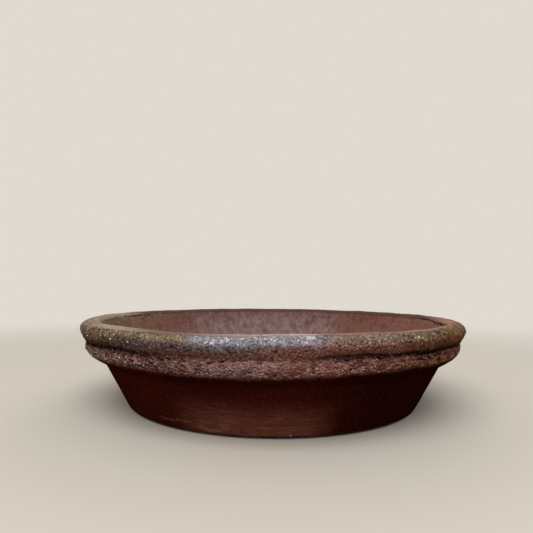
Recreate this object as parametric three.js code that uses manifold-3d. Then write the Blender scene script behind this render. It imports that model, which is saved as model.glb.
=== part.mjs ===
// A shallow round plant pot of dark unglazed stoneware, as the clay members its maker joined:
// a leaning wall, a floor slab set inside it with a coil worked into the corner above and a
// foot ring below, a torn collar pressed round the outside, and a fat roll for the rim.
// The kiln makes these members one body, so each meets its neighbours face to face.
// Millimetres, +Z up, the front towards -Y, origin at the middle of the face it stands on.

import * as THREE from "three";
import { mergeVertices, toCreasedNormals } from "three/addons/utils/BufferGeometryUtils.js";
import Module from "manifold-3d";

// Wall
const baseRadius = 114.5; // outside, at the wall's lower edge
const wallLean = 28.2; // degrees out from upright
const wallThickness = 9.7; // square to its faces
const bareWallHeight = 34.6; // from the wall's lower edge to the collar
const baseEdgeRound = 1.4;

// Floor
const floorThickness = 9;
const drainHoleRadius = 14;
const drainEdgeRound = 1.5;
const wireHoleRadius = 3.5;
const wireHoleCircleRadius = 64;
const wireHoleCount = 4;
const wireHoleTurn = 45; // degrees from the front to the first hole
const cornerCoilRadius = 12; // of the hollow that the coil leaves in the corner

// Foot
const footStandOff = 0.7; // from the table up to the wall's lower edge
const footHeight = 3;
const footWidth = 15; // where it meets the floor
const footEdgeRound = 1.2;
const drainNotchWidth = 16;
const drainNotchHeight = 2.1;
const drainNotchTurns = [90, 180, 270]; // degrees from the front

// Collar
const collarHeight = 16;
const collarBellyRise = 8; // from its lower edge to where it stands out most
const collarStandOut = 7.9; // over the wall's outside, at the belly
const collarTear = 1.1; // how far the torn face wanders in and out
const collarTearLobes = [6, 10, 14, 22]; // waves of that wandering in one turn
const collarBellySway = 0.6; // share of the groove's sway that the belly follows

// Groove between collar and roll
const grooveStandOut = 2.8; // over the wall's outside
const grooveSway = 2.5; // how far it rises and dips
const grooveLobes = 5; // dips in one turn, one of them at the front

// Rim roll
const rollLap = 5.2; // how far it reaches down over the wall's outside
const rollOverWall = 8.5; // from the wall's top to the crest
const rollBellyRise = 8.1; // from the groove to the widest place
const rollStandOut = 4; // over the line of the wall's outside, at the widest place
const rollUneven = 0.3;
const rollLobes = [4, 6, 10];
const lipRoundHeight = 3.4; // from the crest down to the inner face
const lipRoundWidth = 5.4;

// Facets
const aroundSteps = 90;
const bellySteps = 6;
const lipSteps = 4;
const edgeSteps = 3;
const coilSteps = 5;
const holeSteps = 24;
const mergeDistance = 1e-3;
const creaseAngle = 35; // degrees between faces, past which an edge shades sharp

// Heights and lines that follow from these
const lean = THREE.MathUtils.degToRad(wallLean);
const floorTop = footHeight + floorThickness;
const collarBottom = footStandOff + bareWallHeight;
const collarBelly = collarBottom + collarBellyRise;
const collarTop = collarBottom + collarHeight;
const wallTop = collarTop + rollLap;
const rollBelly = collarTop + rollBellyRise;
const crest = wallTop + rollOverWall;
const lipEdge = crest - lipRoundHeight;
const outsideRadius = (z) => baseRadius + Math.tan(lean) * (z - footStandOff);
const insideRadius = (z) => outsideRadius(z) - wallThickness / Math.cos(lean);
const coilReach = cornerCoilRadius * Math.tan((Math.PI / 2 - lean) / 2); // along floor and wall
const coilTop = floorTop + coilReach * Math.cos(lean);
const footInner = insideRadius(footHeight) - footWidth;

const wasm = await Module();
wasm.setup();

// A point of a ring's profile. tear and sway are the shares that it takes of the ring's
// wandering in and out, and of the groove's rise and fall.
const point = (r, z, tear = 0, sway = 0) => ({ r, z, tear, sway });
const outside = (z) => point(outsideRadius(z), z);
const inside = (z) => point(insideRadius(z), z);

// The groove's bottom, which the collar and the roll share.
const groove = point(outsideRadius(collarTop) + grooveStandOut, collarTop, 0, 1);

// From -1 to 1, in whole waves so that it closes on itself. phi runs from the front towards +X.
function wander(phi, lobes) {
  const waves = lobes.map((lobe, k) => Math.sin(lobe * phi + k * k + 1));
  return waves.reduce((sum, wave) => sum + wave) / lobes.length;
}

function swayHeight(phi) {
  return -grooveSway * Math.cos(grooveLobes * phi);
}

// A closed ring. Its profile runs anticlockwise, seen with the radius to the right.
function ring(profile, tearDepth = 0, tearLobes = [1]) {
  const outline = [...profile, profile[0]];
  const count = outline.length;
  const geometry = new THREE.LatheGeometry(
    outline.map(({ r, z }) => new THREE.Vector2(r, z)),
    aroundSteps,
  );
  geometry.rotateX(Math.PI / 2); // the lathe's axis is Y, and its start comes to the front

  const position = geometry.getAttribute("position");
  for (let v = 0; v < position.count; v++) {
    const { r, z, tear, sway } = outline[v % count];
    const phi = (2 * Math.PI * (Math.floor(v / count) % aroundSteps)) / aroundSteps;
    const radius = r + tear * tearDepth * wander(phi, tearLobes);
    position.setXYZ(v, radius * Math.sin(phi), -radius * Math.cos(phi), z + sway * swayHeight(phi));
  }

  // Two rings run through a shared face in opposite directions, so each splits its quads
  // from the lower or inner edge at one step to the other edge at the next.
  const index = [];
  for (let step = 0; step < aroundSteps; step++) {
    for (let j = 0; j < count - 1; j++) {
      const here = step * count + j;
      const next = here + count;
      const rises = outline[j + 1].z > outline[j].z;
      const widens = outline[j + 1].z === outline[j].z && outline[j + 1].r > outline[j].r;
      if (rises || widens) index.push(here, next, next + 1, here, next + 1, here + 1);
      else index.push(here, next, here + 1, next, next + 1, here + 1);
    }
  }
  geometry.setIndex(index);
  return geometry;
}

// Points of an ellipse's arc about a centre, without its first end. Angles are in degrees,
// and shares gives each point's tear and sway from how far along the arc it is.
function ellipseArc(centre, width, height, from, to, steps, shares = () => [0, 0]) {
  return Array.from({ length: steps }, (_, k) => {
    const along = (k + 1) / steps;
    const angle = THREE.MathUtils.degToRad(THREE.MathUtils.lerp(from, to, along));
    return point(centre.r + width * Math.cos(angle), centre.z + height * Math.sin(angle), ...shares(along));
  });
}

// Points of the arc that rounds a corner between its two neighbours, both ends included.
function roundCorner(before, corner, after, radius, steps = edgeSteps) {
  const tip = new THREE.Vector2(corner.r, corner.z);
  const back = new THREE.Vector2(before.r, before.z).sub(tip).normalize();
  const on = new THREE.Vector2(after.r, after.z).sub(tip).normalize();
  const halfAngle = Math.acos(back.dot(on)) / 2;
  const reach = radius / Math.tan(halfAngle);
  const centre = back.clone().add(on).setLength(radius / Math.sin(halfAngle));
  const start = back.clone().multiplyScalar(reach).sub(centre);
  const end = on.clone().multiplyScalar(reach).sub(centre);
  const turn = Math.atan2(start.cross(end), start.dot(end));
  return Array.from({ length: steps + 1 }, (_, k) => {
    const spot = start.clone().rotateAround(new THREE.Vector2(), (turn * k) / steps);
    spot.add(centre).add(tip);
    return point(spot.x, spot.y);
  });
}

// Moves a closed geometry into the boolean library, and a solid back out of it.
function toSolid(geometry) {
  const bare = geometry.clone();
  bare.deleteAttribute("normal");
  bare.deleteAttribute("uv");
  const merged = mergeVertices(bare, mergeDistance);
  return new wasm.Manifold(
    new wasm.Mesh({
      numProp: 3,
      vertProperties: merged.getAttribute("position").array,
      triVerts: new Uint32Array(merged.index.array),
    }),
  );
}

function toGeometry(solid) {
  const mesh = solid.getMesh();
  const geometry = new THREE.BufferGeometry();
  geometry.setAttribute("position", new THREE.BufferAttribute(mesh.vertProperties, 3));
  geometry.setIndex(new THREE.BufferAttribute(mesh.triVerts, 1));
  return geometry;
}

// One even slope from the lower edge to the rim, inside and out. The collar and the roll
// cover its upper part, and its inner face has a point wherever another member ends on it.
function wall() {
  const innerEdge = inside(footStandOff);
  const outerEdge = outside(footStandOff);
  return ring([
    innerEdge,
    ...roundCorner(innerEdge, outerEdge, outside(collarBottom), baseEdgeRound),
    outside(collarBottom),
    outside(collarTop),
    outside(wallTop),
    inside(wallTop),
    inside(coilTop),
    inside(floorTop),
    inside(footHeight),
  ]);
}

// The slab inside the wall, with the drain hole in its middle and wire holes round it.
function floorSlab() {
  const holeBottom = point(drainHoleRadius, footHeight);
  const holeTop = point(drainHoleRadius, floorTop);
  const coilStart = point(insideRadius(floorTop) - coilReach, floorTop);
  const slab = toSolid(
    ring([
      ...roundCorner(holeTop, holeBottom, coilStart, drainEdgeRound / 2),
      point(footInner, footHeight),
      inside(footHeight),
      inside(floorTop),
      coilStart,
      ...roundCorner(coilStart, holeTop, holeBottom, drainEdgeRound),
    ]),
  );
  const drill = new THREE.CylinderGeometry(wireHoleRadius, wireHoleRadius, 3 * floorThickness, holeSteps);
  drill.rotateX(Math.PI / 2);
  drill.translate(0, -wireHoleCircleRadius, footHeight + floorThickness / 2);
  const drills = Array.from({ length: wireHoleCount }, (_, k) => {
    const phi = THREE.MathUtils.degToRad(wireHoleTurn) + (2 * Math.PI * k) / wireHoleCount;
    return toSolid(drill.clone().rotateZ(phi));
  });
  return toGeometry(drills.reduce((solid, hole) => solid.subtract(hole), slab));
}

// The coil that hollows out the corner, tangent to the floor and to the wall.
function cornerCoil() {
  const corner = inside(floorTop);
  const onFloor = point(corner.r - coilReach, floorTop);
  const onWall = inside(coilTop);
  const hollow = roundCorner(onWall, corner, onFloor, cornerCoilRadius, coilSteps).slice(1, -1);
  return ring([onFloor, corner, onWall, ...hollow]);
}

// The ring under the floor that the pot stands on, with notches that let the water out.
function footRing() {
  const innerFoot = point(footInner, 0);
  const onWall = inside(footStandOff);
  const outerFoot = point(onWall.r - footStandOff, 0);
  const body = toSolid(
    ring([
      ...roundCorner(point(footInner, footHeight), innerFoot, outerFoot, footEdgeRound),
      outerFoot,
      onWall,
      inside(footHeight),
      point(footInner, footHeight),
    ]),
  );
  const cutter = new THREE.CylinderGeometry(1, 1, 2 * footWidth, holeSteps);
  cutter.scale(drainNotchWidth / 2, 1, drainNotchHeight);
  cutter.translate(0, -(footInner + outerFoot.r) / 2, 0);
  const cutters = drainNotchTurns.map((turn) => toSolid(cutter.clone().rotateZ(THREE.MathUtils.degToRad(turn))));
  return toGeometry(cutters.reduce((solid, notch) => solid.subtract(notch), body));
}

// Torn clay: its underside swells out to the belly, and above that it draws in to the groove.
function collarBand() {
  const underside = Array.from({ length: bellySteps }, (_, k) => {
    const along = (k + 1) / bellySteps;
    const z = collarBottom + collarBellyRise * along;
    const standOut = collarStandOut * Math.sin((along * Math.PI) / 2);
    return point(outsideRadius(z) + standOut, z, along, collarBellySway * along);
  });
  const face = Array.from({ length: bellySteps - 1 }, (_, k) => {
    const angle = ((k + 1) / bellySteps) * (Math.PI / 2);
    const z = THREE.MathUtils.lerp(collarBelly, collarTop, Math.sin(angle));
    const standOut = THREE.MathUtils.lerp(grooveStandOut, collarStandOut, Math.cos(angle));
    const sway = THREE.MathUtils.lerp(collarBellySway, 1, Math.sin(angle));
    return point(outsideRadius(z) + standOut, z, Math.cos(angle), sway);
  });
  return ring(
    [outside(collarBottom), ...underside, ...face, groove, outside(collarTop)],
    collarTear,
    collarTearLobes,
  );
}

// A roll of clay that sits on the wall's top, laps over its outside and rounds off to the lip.
function rimRoll() {
  const bellyRadius = outsideRadius(rollBelly) + rollStandOut;
  const crestRadius = insideRadius(lipEdge) + lipRoundWidth;
  const quarter = Math.PI / 2;
  const underBelly = ellipseArc(
    { r: groove.r, z: rollBelly },
    bellyRadius - groove.r,
    rollBellyRise,
    -90,
    0,
    bellySteps,
    (along) => [Math.sin(along * quarter), Math.cos(along * quarter)],
  );
  const overBelly = ellipseArc(
    { r: crestRadius, z: rollBelly },
    bellyRadius - crestRadius,
    crest - rollBelly,
    0,
    90,
    bellySteps,
    (along) => [1 - along, 0],
  );
  const lip = ellipseArc({ r: crestRadius, z: lipEdge }, lipRoundWidth, lipRoundHeight, 90, 180, lipSteps);
  return ring(
    [outside(collarTop), groove, ...underBelly, ...overBelly, ...lip, inside(wallTop), outside(wallTop)],
    rollUneven,
    rollLobes,
  );
}

// Fired clay is dull and holds no metal. Ash from the kiln leaves a little shine on the rim.
function clay(color, roughness) {
  return new THREE.MeshStandardMaterial({ color, roughness, metalness: 0 });
}

const members = [
  { name: "wall", geometry: wall(), material: clay(0x45281f, 0.75) },
  { name: "floor_slab", geometry: floorSlab(), material: clay(0x6a4d45, 0.9) },
  { name: "corner_coil", geometry: cornerCoil(), material: clay(0x6a4d45, 0.9) },
  { name: "foot_ring", geometry: footRing(), material: clay(0x3a2420, 0.9) },
  { name: "collar_band", geometry: collarBand(), material: clay(0x5c3f37, 0.95) },
  { name: "rim_roll", geometry: rimRoll(), material: clay(0x6d5c50, 0.6) },
];

const pot = new THREE.Group();
for (const { name, geometry, material } of members) {
  const creased = toCreasedNormals(geometry, THREE.MathUtils.degToRad(creaseAngle));
  const mesh = new THREE.Mesh(creased, material);
  mesh.name = name;
  pot.add(mesh);
}

export default pot;
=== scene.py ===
import math
import random
from itertools import pairwise

import bmesh
import bpy
from mathutils import Matrix, Vector, kdtree, noise


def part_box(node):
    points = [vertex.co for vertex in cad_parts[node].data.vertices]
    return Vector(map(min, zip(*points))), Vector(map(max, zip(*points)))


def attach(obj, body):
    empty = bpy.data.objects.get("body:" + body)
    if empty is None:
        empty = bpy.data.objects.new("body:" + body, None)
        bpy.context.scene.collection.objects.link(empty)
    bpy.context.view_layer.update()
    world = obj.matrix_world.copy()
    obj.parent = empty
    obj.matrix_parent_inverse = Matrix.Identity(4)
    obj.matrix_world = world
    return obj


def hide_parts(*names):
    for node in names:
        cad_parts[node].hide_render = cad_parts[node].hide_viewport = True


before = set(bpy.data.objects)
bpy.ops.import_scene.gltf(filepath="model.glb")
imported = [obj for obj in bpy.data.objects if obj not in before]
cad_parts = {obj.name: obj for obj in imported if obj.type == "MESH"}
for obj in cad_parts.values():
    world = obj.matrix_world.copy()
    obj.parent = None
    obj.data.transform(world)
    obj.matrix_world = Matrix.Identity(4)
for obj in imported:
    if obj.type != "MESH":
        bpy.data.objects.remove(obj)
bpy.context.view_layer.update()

# A shallow plant pot of dark stoneware: a leaning wall, a floor slab with its corner coil and
# foot ring, a torn collar and a fat rim roll. Metres, +Z up, the front towards -Y.
mm = 0.001

# Lines that several pieces share. The heights and the widest radius come from the frame.
pot = {
    "lean": math.radians(28.2),  # of the wall, out from upright
    "thickness": 9.7 * mm,  # of the wall, square to its faces
    "coilRound": 12 * mm,  # radius of the hollow where floor and wall meet
    "overlap": 0.3 * mm,  # how far the floor, the coil and the foot reach into their neighbours
    "sectors": 20,  # that a ring is spun from, so every count of turnSteps divides by it
    "grooveSway": 2.5 * mm,  # how far the groove under the roll rises and dips in the frame
    "grooveStand": 2.8 * mm,  # of its bottom over the wall's outside, as the rings are spun
    # the groove's course, as (degrees from the front, millimetres up)
    "groove": [
        (-180, 51.8), (-150, 50.0), (-120, 52.2), (-92, 49.8), (-68, 49.4), (-56, 50.6), (-43, 51.4),
        (-31, 50.9), (-19, 51.4), (-9, 50.5), (1, 50.9), (8, 51.9), (12, 53.1), (16, 53.1), (21, 53.5),
        (27, 51.9), (33, 52.2), (40, 50.6), (50, 51.3), (58, 51.0), (68, 50.5), (92, 50.6),
        (118, 52.4), (150, 50.2), (180, 51.8),
    ],
    # how far its bottom really stands out over the wall's outside, in millimetres
    "grooveOut": [
        (-180, 3.4), (-100, 3.2), (-64, 3.4), (-50, 2.2), (-31, 2.6), (-19, 3.4), (-9, 4.2), (1, 4.4),
        (11, 3.8), (22, 2.4), (37, 1.7), (52, 1.8), (66, 3.8), (84, 4.0), (120, 3.2), (180, 3.4),
    ],
    # how dark the groove's painted shade is, as (degrees from the front, 0 to 1000)
    "shade": [
        (-180, 600), (-43, 950), (-31, 780), (-19, 250), (-9, 0), (3, 0), (12, 750), (22, 850),
        (37, 1000), (50, 1000), (180, 600),
    ],
}
wallFoot, wallTop = (corner.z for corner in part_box("wall"))
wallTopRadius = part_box("wall")[1].y
floorBottom, floorTop = (corner.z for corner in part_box("floor_slab"))
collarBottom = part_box("collar_band")[0].z
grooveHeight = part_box("rim_roll")[0].z + pot["grooveSway"]
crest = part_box("rim_roll")[1].z
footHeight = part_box("foot_ring")[1].z


def outsideRadius(z):
    return wallTopRadius - math.tan(pot["lean"]) * (wallTop - z)


def insideRadius(z):
    return outsideRadius(z) - pot["thickness"] / math.cos(pot["lean"])


coilReach = pot["coilRound"] * math.tan((math.pi / 2 - pot["lean"]) / 2)
coilTop = floorTop + coilReach * math.cos(pot["lean"])
coilStart = insideRadius(floorTop) - coilReach


# Small sums

def clamp(value, low=0.0, high=1.0):
    return max(low, min(high, value))


def smooth(value, low, high):
    share = clamp((value - low) / (high - low))
    return share * share * (3 - 2 * share)


def lerp(first, second, share):
    return first + (second - first) * share


def angleOf(point):
    # from the front towards +X
    return math.atan2(point.x, -point.y)


def wander(angle, lobes):
    return sum(math.sin(lobe * angle + k * k + 1) for k, lobe in enumerate(lobes)) / len(lobes)


def alongCourse(course, angle):
    # What a course given as (degrees from the front, thousandths) comes to, None past its ends.
    degrees = math.degrees(angle)
    for (fromAngle, before), (toAngle, after) in pairwise(course):
        if fromAngle <= degrees <= toAngle:
            return lerp(before, after, smooth(degrees, fromAngle, toAngle)) * mm
    return None


def spotAt(degrees, height, radius):
    turn = math.radians(degrees)
    return Vector((radius * math.sin(turn), -radius * math.cos(turn), height))


# Modelling steps

def arcPoints(centre, width, height, start, end, steps):
    # Points of an ellipse's arc without its first end, radius and height, angles in degrees.
    spots = []
    for k in range(1, steps + 1):
        angle = math.radians(lerp(start, end, k / steps))
        spots.append((centre[0] + width * math.cos(angle), centre[1] + height * math.sin(angle)))
    return spots


def numberOf(face):
    # A number that no other face of a ring has.
    corners = [vertex.index for vertex in face.verts]
    return max(corners) + min(corners) / 1e6


def spunRing(outline, cuts, turnSteps):
    # The outline turned round the pot's axis: one sector is spun, and turned copies of it close
    # the circle. cuts says how many points go into its straight stretches, by their first corner.
    points = []
    for k, corner in enumerate(outline):
        following = outline[(k + 1) % len(outline)]
        pieces = cuts.get(k, 0) + 1
        points += [tuple(lerp(a, b, i / pieces) for a, b in zip(corner, following)) for i in range(pieces)]
    bm = bmesh.new()
    along = bm.verts.layers.int.new("along")
    profile = [bm.verts.new((0, -radius, z)) for radius, z in points]
    for k, vertex in enumerate(profile):
        vertex[along] = k
        bm.edges.new((profile[k - 1], vertex))
    sectors = pot["sectors"]
    sector = 2 * math.pi / sectors
    spin = {"cent": (0, 0, 0), "axis": (0, 0, 1), "space": Matrix.Identity(4)}
    bmesh.ops.spin(bm, geom=bm.verts[:] + bm.edges[:], angle=sector, steps=turnSteps // sectors, **spin)
    whole = bm.verts[:] + bm.edges[:] + bm.faces[:]
    bmesh.ops.spin(bm, geom=whole, angle=2 * math.pi - sector, steps=sectors - 1, use_duplicate=True, **spin)
    bmesh.ops.remove_doubles(bm, verts=bm.verts[:], dist=0.001 * mm)
    bmesh.ops.recalc_face_normals(bm, faces=bm.faces[:])

    # Spin numbers the vertices differently each run, and the random picks go by their numbers.
    # So they are put in order here, and each gets its exact place.
    step = 2 * math.pi / turnSteps
    bm.verts.sort(key=lambda v: round(angleOf(v.co) / step) % turnSteps * len(points) + v[along])
    bm.verts.index_update()
    for vertex in bm.verts:
        radius, z = points[vertex[along]]
        turn = 2 * math.pi * (vertex.index // len(points)) / turnSteps
        vertex.co = (radius * math.sin(turn), -radius * math.cos(turn), z)
    bm.faces.sort(key=numberOf)
    bm.verts.layers.int.remove(along)
    bm.normal_update()
    bm.verts.ensure_lookup_table()
    return bm


def pushAlong(bm, lifts):
    # Moves each vertex along its normal by its lift, all of them from where they are now.
    for vertex, lift in zip(bm.verts, lifts):
        vertex.co += vertex.normal * lift
    bm.normal_update()


def treeOf(bm):
    tree = kdtree.KDTree(len(bm.verts))
    for vertex in bm.verts:
        tree.insert(vertex.co, vertex.index)
    tree.balance()
    return tree


def pressPits(lifts, tree, pits):
    # A pit is (place, radius, depth). Where pits overlap the deeper one holds.
    for place, radius, depth in pits:
        for _, index, distance in tree.find_range(place, radius):
            bowl = depth * (1 - (distance / radius) ** 2) ** 1.5
            lifts[index] = min(lifts[index], -bowl + lifts[index] * 0.4)


def pressLine(vertices, lifts, course, width, depth):
    # A line pressed in along a course. Its edges wander.
    for vertex in vertices:
        height = alongCourse(course, angleOf(vertex.co))
        if height is None:
            continue
        off = vertex.co.z - height - noise.noise(vertex.co / (1.6 * mm)) * 0.6 * width
        if abs(off) < width:
            uneven = clamp(0.7 + noise.noise(vertex.co / (2.5 * mm)))
            lifts[vertex.index] -= depth * uneven * (1 - (off / width) ** 2)


def setMark(bm, name, values):
    # One number per vertex that the piece's material reads.
    layer = bm.verts.layers.float.new(name)
    for vertex, value in zip(bm.verts, values):
        vertex[layer] = value


def markRelief(bm, lifts):
    # How far each spot is lifted, in half millimetres.
    setMark(bm, "relief", [lift / (0.5 * mm) for lift in lifts])


def addGrit(bm, grains):
    # Small lumps of grit, half sunk in the clay. A grain is (place, radius, faces' fineness).
    lumps = bmesh.new()
    for place, radius, fineness in grains:
        squash = Matrix.Diagonal((1, random.uniform(0.7, 1.1), random.uniform(0.6, 1), 1))
        axis = Vector([random.gauss(0, 1) for _ in range(3)])
        turn = Matrix.Rotation(random.uniform(0, math.tau), 4, axis)
        bmesh.ops.create_icosphere(
            lumps, subdivisions=fineness, radius=radius, matrix=Matrix.Translation(place) @ turn @ squash,
        )
    setMark(lumps, "grit", [1.0] * len(lumps.verts))
    mesh = meshOf(lumps, "grit")
    bm.from_mesh(mesh)
    bpy.data.meshes.remove(mesh)


def vertexAt(bm, tree, degrees, height, radius):
    # The vertex nearest to a spot, given as degrees from the front and millimetres up.
    return bm.verts[tree.find(spotAt(degrees, height * mm, radius))[1]].co.copy()


def randomPits(bm, spots, count, smallest, largest):
    pits = []
    for index in random.sample(spots, count):
        size = random.uniform(smallest, largest)
        pits.append((bm.verts[index].co, size, size * random.uniform(0.4, 0.8)))
    return pits


def randomGrit(bm, spots, count, smallest, largest):
    places = [bm.verts[index].co.copy() for index in random.sample(spots, count)]
    return [(place, random.uniform(smallest, largest), 1) for place in places]


def meshOf(bm, name):
    mesh = bpy.data.meshes.new(name)
    bm.to_mesh(mesh)
    bm.free()
    return mesh


def linkNew(name, data):
    made = bpy.data.objects.new(name, data)
    bpy.context.scene.collection.objects.link(made)
    return made


def finishPiece(bm, name, material, node):
    mesh = meshOf(bm, name)
    mesh.shade_smooth()
    mesh.set_sharp_from_angle(angle=math.radians(50))
    mesh.materials.append(material)
    piece = linkNew(name, mesh)
    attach(piece, "root")
    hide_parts(node)
    print(f"{name}: {len(mesh.polygons)} faces")
    return piece


# Material steps

def tone(red, green, blue):
    # A colour as it shows on screen, 0 to 255, made the linear one that a shader takes.
    shares = [c / 255 for c in (red, green, blue)]
    return (*(c / 12.92 if c <= 0.04045 else ((c + 0.055) / 1.055) ** 2.4 for c in shares), 1)


def addNode(tree, kind, inputs=None, **settings):
    made = tree.nodes.new(kind)
    for setting, value in settings.items():
        setattr(made, setting, value)
    for socket, value in (inputs or {}).items():
        if isinstance(value, bpy.types.NodeSocket):
            tree.links.new(value, made.inputs[socket])
        else:
            made.inputs[socket].default_value = value
    return made


def calc(tree, operation, first, second):
    return addNode(tree, "ShaderNodeMath", {0: first, 1: second}, operation=operation).outputs[0]


class Finish:
    # A material in the making. Each step adds its nodes and hands back what comes out of them.

    def __init__(self, name):
        self.material = bpy.data.materials.new(name)
        self.material.use_nodes = True
        self.tree = self.material.node_tree
        self.tree.nodes.clear()
        self.place = self.add("ShaderNodeTexCoord").outputs["Object"]
        self.height = self.add("ShaderNodeSeparateXYZ", {0: self.place}).outputs["Z"]

    def add(self, kind, inputs=None, **settings):
        return addNode(self.tree, kind, inputs, **settings)

    def mark(self, name):
        return self.add("ShaderNodeAttribute", attribute_name=name).outputs["Fac"]

    def plus(self, first, second):
        return calc(self.tree, "ADD", first, second)

    def minus(self, first, second):
        return calc(self.tree, "SUBTRACT", first, second)

    def times(self, first, *others):
        for other in others:
            first = calc(self.tree, "MULTIPLY", first, other)
        return first

    def vector(self, operation, first, second=(0, 0, 0), out="Vector"):
        return self.add("ShaderNodeVectorMath", {0: first, 1: second}, operation=operation).outputs[out]

    def step(self, value, low, high, atLow=0.0, atHigh=1.0):
        knobs = {"Value": value, "From Min": low, "From Max": high, "To Min": atLow, "To Max": atHigh}
        return self.add("ShaderNodeMapRange", knobs, interpolation_type="SMOOTHSTEP").outputs["Result"]

    def mix(self, share, first, second):
        return self.add("ShaderNodeMix", {0: share, 6: first, 7: second}, data_type="RGBA").outputs[2]

    def mixNumber(self, share, first, second):
        return self.add("ShaderNodeMix", {0: share, 2: first, 3: second}, data_type="FLOAT").outputs[0]

    def coats(self, colour, look, layers):
        # Lays tones over a colour. A layer is (how much of it shows, a tone's name or a colour).
        for share, shade in layers:
            colour = self.mix(share, colour, look[shade] if isinstance(shade, str) else shade)
        return colour

    def grain(self, size, detail=2.0, rough=0.5, stretch=None, place=None):
        # Noise whose lumps are about one size across, longer where stretch is under 1.
        if place is None:
            place = self.place
        if stretch:
            place = self.vector("MULTIPLY", place, stretch)
        knobs = {"Vector": place, "Scale": 0.5 / size, "Detail": detail, "Roughness": rough}
        return self.add("ShaderNodeTexNoise", knobs).outputs["Fac"]

    def side(self, degrees, full, none, most=1.0):
        # As much as most round one side of the pot, fading out from one angle off it to another.
        unit = self.vector("NORMALIZE", self.vector("MULTIPLY", self.place, (1, 1, 0)))
        turn = math.radians(degrees)
        dot = self.vector("DOT_PRODUCT", unit, (math.sin(turn), -math.cos(turn), 0), "Value")
        return self.step(dot, math.cos(math.radians(none)), math.cos(math.radians(full)), 0.0, most)

    def cells(self, place, scale):
        made = self.add("ShaderNodeTexVoronoi", {"Vector": place, "Scale": scale, "Randomness": 1.0})
        own = self.add("ShaderNodeSeparateColor", {0: made.outputs["Color"]}).outputs[0]
        return made.outputs["Distance"], own

    def specks(self, size, share, most):
        # Round specks of one size, kept at a share of the spots where they could be.
        distance, own = self.cells(self.place, 0.35 / size)
        near = self.step(distance, 0.07, 0.37, most, 0.0)
        return self.times(near, self.step(own, share, share + 0.01, 1.0, 0.0))

    def crumbs(self, place, size):
        # Packed crumbs: how high a spot stands on its crumb, 0 to 1, and a chance number per crumb.
        distance, own = self.cells(place, 1 / size)
        return self.step(distance, 0.05, 0.75, 1.0, 0.0), own

    def grazingShade(self):
        # Dark spots in the rough clay round both ends of the pot's width: painted shade, where the light
        # grazes the rough clay.
        ends = self.minus(1.0, self.side(0, 18, 42))
        return self.times(ends, self.step(self.grain(1.3 * mm, 3, 0.6), 0.38, 0.5, 0.75, 0.0))

    def standing(self, crumb, crumbShare, speckle):
        # How far a spot stands out of the clay round it, in half millimetres.
        coarse = self.plus(self.mark("relief"), self.times(self.minus(crumb, 0.55), crumbShare))
        return self.plus(coarse, self.times(self.minus(speckle, 0.5), 1.2))

    def grooveShade(self, own):
        # The groove's painted shade, with a paler crumb here and there.
        return self.times(self.mark("groove"), self.step(own, 0.93, 0.98, 0.98, 0.6))

    def end(self, colour, rough, bumpHeight, bumpDepth, gloss):
        bump = self.add("ShaderNodeBump", {"Height": bumpHeight, "Distance": bumpDepth, "Strength": 1.0})
        knobs = {
            "Base Color": colour, "Roughness": rough, "Specular IOR Level": gloss,
            "Normal": bump.outputs["Normal"],
        }
        shader = self.add("ShaderNodeBsdfPrincipled", knobs)
        self.add("ShaderNodeOutputMaterial", {"Surface": shader.outputs[0]})
        return self.material


# The inside's mauve brown, with pale dust thickest at the back. The wall, the floor and the
# roll's inner edge share it, so that they run into each other.
insideLook = {
    "brown": tone(120, 76, 62),
    "red": tone(114, 68, 60),
    "mauve": tone(126, 97, 97),
    "rosy": tone(142, 98, 88),
    "dust": tone(168, 146, 145),
    "tan": tone(128, 100, 76),
    "stainAndShade": tone(70, 40, 34),
}


def insideColour(clay):
    # The sides differ up the wall. Towards the middle of the floor that fades out.
    look = insideLook
    fromMiddle = clay.vector("LENGTH", clay.vector("MULTIPLY", clay.place, (1, 1, 0)), out="Value")
    upWall = clay.step(fromMiddle, 60 * mm, 112 * mm)
    back = clay.times(clay.side(-176, 6, 50), upWall)
    colour = clay.mix(clay.step(clay.grain(16 * mm, 3), 0.38, 0.62), look["brown"], look["red"])
    colour = clay.coats(colour, look, [
        (back, "mauve"),
        (clay.times(clay.side(-92, 6, 44, 0.75), upWall), "tan"),
        (clay.times(clay.side(96, 6, 44, 0.7), upWall), "rosy"),
    ])

    # runs that hang down the wall, clouds of dust at the back and low down, painted shade high on the back
    # under the rim, streaks and specks
    runs = clay.step(clay.grain(1.7 * mm, 4, 0.7, (1, 1, 0.5)), 0.48, 0.72, 0.0, 0.65)
    clouds = clay.times(clay.grain(3 * mm, 4, 0.65, (1, 1, 0.6)), clay.side(-176, 10, 80))
    dusty = clay.times(clay.step(clouds, 0.4, 0.6, 0.0, 0.75), clay.grain(1.1 * mm, 3), upWall)
    low = clay.step(clay.height, 34 * mm, 54 * mm, 0.4, 0.0)
    streaks = clay.step(clay.grain(3 * mm, 3, 0.55, (1, 1, 0.2)), 0.5, 0.7, 0.0, 0.4)
    return clay.coats(colour, look, [
        (runs, "stainAndShade"),
        (dusty, "dust"),
        (clay.times(low, clay.step(clay.grain(1.6 * mm, 4, 0.7), 0.25, 0.75)), "dust"),
        (clay.step(clay.grain(0.5 * mm, 3, 0.65), 0.5, 0.75, 0.0, 0.35), "dust"),
        # painted shade high on the back of the inside, under the rim
        (clay.times(back, clay.step(clay.height, 50 * mm, 61 * mm, 0.0, 0.3)), "stainAndShade"),
        (clay.times(streaks, upWall), "stainAndShade"),
        (clay.specks(0.55 * mm, 0.05, 0.8), "dust"),
    ])


def insideClay():
    clay = Finish("insideClay")
    lines = clay.grain(0.5 * mm, 2, stretch=(0.08, 0.08, 1))
    bump = clay.times(clay.plus(lines, clay.grain(0.35 * mm, 2)), 0.6)
    return clay.end(insideColour(clay), 0.88, bump, 0.12 * mm, 0.25)


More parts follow.
